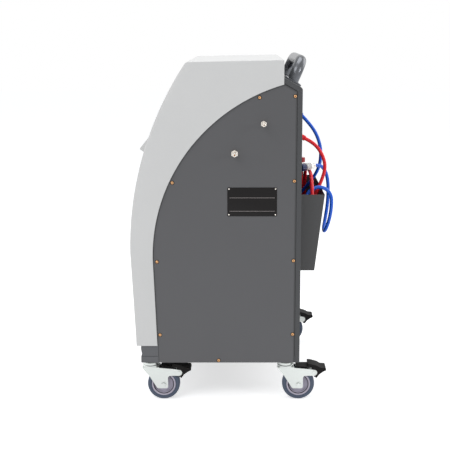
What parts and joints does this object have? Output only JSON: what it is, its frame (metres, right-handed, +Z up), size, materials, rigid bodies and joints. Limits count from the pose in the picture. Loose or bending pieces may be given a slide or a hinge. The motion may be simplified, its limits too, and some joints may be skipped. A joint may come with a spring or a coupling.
{
  "type": "air conditioning recharge station",
  "caption": "Wheeled cabinet that recovers and recharges vehicle air conditioning refrigerant, with a sloped console, push handle, hose holder and braked casters.",
  "frame": {"origin": "on the floor, middle of the machine's bounding box without its hoses", "axes": "+X from the console's side to the hose side, +Y to the operator's left, +Z up"},
  "size_m": [0.624, 0.636, 1.0575],
  "materials": {
    "shell_plastic": "satin",
    "dark_paint": "matt textured",
    "base_paint": "matt",
    "console_plastic": "fine texture",
    "display_lens": "gloss",
    "board": "satin",
    "button_plastic": "satin",
    "gauge_case": "satin",
    "gauge_glass": "clear",
    "needle_paint": "satin",
    "chassis_steel": "satin",
    "handle_metal": "polished",
    "holder_steel": "satin",
    "red_rubber": "semi-gloss",
    "blue_rubber": "semi-gloss",
    "brass_fittings": "machined",
    "red_coupler": "satin",
    "blue_coupler": "satin",
    "nickel": "nickel plated",
    "plate_aluminium": "brushed",
    "screw_brass": "plated",
    "fan_plastic": "satin",
    "guard_wire": "zinc plated",
    "inlet_plastic": "satin",
    "switch_plastic": "gloss",
    "scale_steel": "satin",
    "tank_paint": "gloss",
    "pump_paint": "gloss",
    "pump_metal": "cast",
    "drier_paint": "gloss",
    "valve_metal": "machined",
    "supply_steel": "plain",
    "zinc": "zinc plated",
    "tyre_rubber": "matt",
    "hub_plastic": "satin",
    "pedal_plastic": "satin"
  },
  "bodies": {
    "cabinet": {"front_shell": "shell_plastic", "console_panel": "console_plastic", "display_lens": "display_lens", "control_board": "board", "gauge_cases": "gauge_case", "gauge_glasses": "gauge_glass", "base_frame": "base_paint", "kick_panel": "base_paint", "rear_cover": "dark_paint", "side_panel_right": "dark_paint", "side_panel_left": "dark_paint", "chassis_frame": "chassis_steel", "push_handle": "handle_metal", "hose_holder": "holder_steel", "red_hose": "red_rubber", "blue_hose": "blue_rubber", "red_hose_coil": "red_rubber", "blue_hose_coil": "blue_rubber", "hose_ports": "brass_fittings", "red_coupler": "red_coupler", "blue_coupler": "blue_coupler", "service_ports": "nickel", "data_plate": "plate_aluminium", "panel_screws": "screw_brass", "fan_frame": "fan_plastic", "fan_guard": "guard_wire", "power_inlet": "inlet_plastic", "tank_scale": "scale_steel", "refrigerant_tank": "tank_paint", "compressor": "pump_paint", "vacuum_pump": "pump_metal", "filter_drier": "drier_paint", "valve_block": "valve_metal", "power_supply": "supply_steel", "caster_stems": "zinc"},
    "menu_button_1": {"menu_button_1": "button_plastic"},
    "menu_button_2": {"menu_button_2": "button_plastic"},
    "menu_button_3": {"menu_button_3": "button_plastic"},
    "menu_button_4": {"menu_button_4": "button_plastic"},
    "low_pressure_needle": {"low_pressure_needle": "needle_paint"},
    "high_pressure_needle": {"high_pressure_needle": "needle_paint"},
    "power_switch": {"power_switch": "switch_plastic"},
    "fan_rotor": {"fan_rotor": "fan_plastic"},
    "fork_front_right": {"caster_fork_front_right": "zinc"},
    "wheel_front_right": {"caster_tyre_front_right": "tyre_rubber", "caster_hub_front_right": "hub_plastic"},
    "pedal_front_right": {"brake_pedal_front_right": "pedal_plastic"},
    "fork_front_left": {"caster_fork_front_left": "zinc"},
    "wheel_front_left": {"caster_tyre_front_left": "tyre_rubber", "caster_hub_front_left": "hub_plastic"},
    "pedal_front_left": {"brake_pedal_front_left": "pedal_plastic"},
    "fork_rear_right": {"caster_fork_rear_right": "zinc"},
    "wheel_rear_right": {"caster_tyre_rear_right": "tyre_rubber", "caster_hub_rear_right": "hub_plastic"},
    "pedal_rear_right": {"brake_pedal_rear_right": "pedal_plastic"},
    "fork_rear_left": {"caster_fork_rear_left": "zinc"},
    "wheel_rear_left": {"caster_tyre_rear_left": "tyre_rubber", "caster_hub_rear_left": "hub_plastic"},
    "pedal_rear_left": {"brake_pedal_rear_left": "pedal_plastic"}
  },
  "joints": [
    {"name": "menu_button_1_press", "type": "slide", "parent": "cabinet", "child": "menu_button_1", "axis": [0.7826, 0, -0.6225], "range_m": [0, 0.0015], "stiffness_N_per_m": 300, "springref_m": -0.0005},
    {"name": "menu_button_2_press", "type": "slide", "parent": "cabinet", "child": "menu_button_2", "axis": [0.7826, 0, -0.6225], "range_m": [0, 0.0015], "stiffness_N_per_m": 300, "springref_m": -0.0005},
    {"name": "menu_button_3_press", "type": "slide", "parent": "cabinet", "child": "menu_button_3", "axis": [0.7826, 0, -0.6225], "range_m": [0, 0.0015], "stiffness_N_per_m": 300, "springref_m": -0.0005},
    {"name": "menu_button_4_press", "type": "slide", "parent": "cabinet", "child": "menu_button_4", "axis": [0.7826, 0, -0.6225], "range_m": [0, 0.0015], "stiffness_N_per_m": 300, "springref_m": -0.0005},
    {"name": "low_pressure_needle_turn", "type": "hinge", "parent": "cabinet", "child": "low_pressure_needle", "pos_m": [-0.13507, 0.203, 0.94719], "axis": [0.7826, 0, -0.6225], "range_deg": [0, 270], "stiffness_Nm_per_rad": 0.001, "springref_deg": -17.19},
    {"name": "high_pressure_needle_turn", "type": "hinge", "parent": "cabinet", "child": "high_pressure_needle", "pos_m": [-0.13507, -0.167, 0.94719], "axis": [0.7826, 0, -0.6225], "range_deg": [0, 270], "stiffness_Nm_per_rad": 0.001, "springref_deg": -17.19},
    {"name": "power_switch_rock", "type": "hinge", "parent": "cabinet", "child": "power_switch", "pos_m": [0.20725, 0.184, 0.23], "axis": [0, 1, 0], "range_deg": [0, 20]},
    {"name": "fan_spin", "type": "hinge", "parent": "cabinet", "child": "fan_rotor", "pos_m": [0.19225, -0.112, 0.27], "axis": [1, 0, 0], "continuous": true},
    {"name": "caster_swivel_front_right", "type": "hinge", "parent": "cabinet", "child": "fork_front_right", "pos_m": [-0.24625, -0.237, 0.11], "axis": [0, 0, 1], "continuous": true},
    {"name": "caster_wheel_front_right", "type": "hinge", "parent": "fork_front_right", "child": "wheel_front_right", "pos_m": [-0.20625, -0.237, 0.05], "axis": [0, 1, 0], "continuous": true},
    {"name": "caster_brake_front_right", "type": "hinge", "parent": "fork_front_right", "child": "pedal_front_right", "pos_m": [-0.15825, -0.237, 0.089], "axis": [0, 1, 0], "range_deg": [0, 12]},
    {"name": "caster_swivel_front_left", "type": "hinge", "parent": "cabinet", "child": "fork_front_left", "pos_m": [-0.24625, 0.273, 0.11], "axis": [0, 0, 1], "continuous": true},
    {"name": "caster_wheel_front_left", "type": "hinge", "parent": "fork_front_left", "child": "wheel_front_left", "pos_m": [-0.20625, 0.273, 0.05], "axis": [0, 1, 0], "continuous": true},
    {"name": "caster_brake_front_left", "type": "hinge", "parent": "fork_front_left", "child": "pedal_front_left", "pos_m": [-0.15825, 0.273, 0.089], "axis": [0, 1, 0], "range_deg": [0, 12]},
    {"name": "caster_swivel_rear_right", "type": "hinge", "parent": "cabinet", "child": "fork_rear_right", "pos_m": [0.17175, -0.237, 0.11], "axis": [0, 0, 1], "continuous": true},
    {"name": "caster_wheel_rear_right", "type": "hinge", "parent": "fork_rear_right", "child": "wheel_rear_right", "pos_m": [0.21175, -0.237, 0.05], "axis": [0, 1, 0], "continuous": true},
    {"name": "caster_brake_rear_right", "type": "hinge", "parent": "fork_rear_right", "child": "pedal_rear_right", "pos_m": [0.25975, -0.237, 0.089], "axis": [0, 1, 0], "range_deg": [0, 12]},
    {"name": "caster_swivel_rear_left", "type": "hinge", "parent": "cabinet", "child": "fork_rear_left", "pos_m": [0.17175, 0.273, 0.11], "axis": [0, 0, 1], "continuous": true},
    {"name": "caster_wheel_rear_left", "type": "hinge", "parent": "fork_rear_left", "child": "wheel_rear_left", "pos_m": [0.21175, 0.273, 0.05], "axis": [0, 1, 0], "continuous": true},
    {"name": "caster_brake_rear_left", "type": "hinge", "parent": "fork_rear_left", "child": "pedal_rear_left", "pos_m": [0.25975, 0.273, 0.089], "axis": [0, 1, 0], "range_deg": [0, 12]}
  ]
}
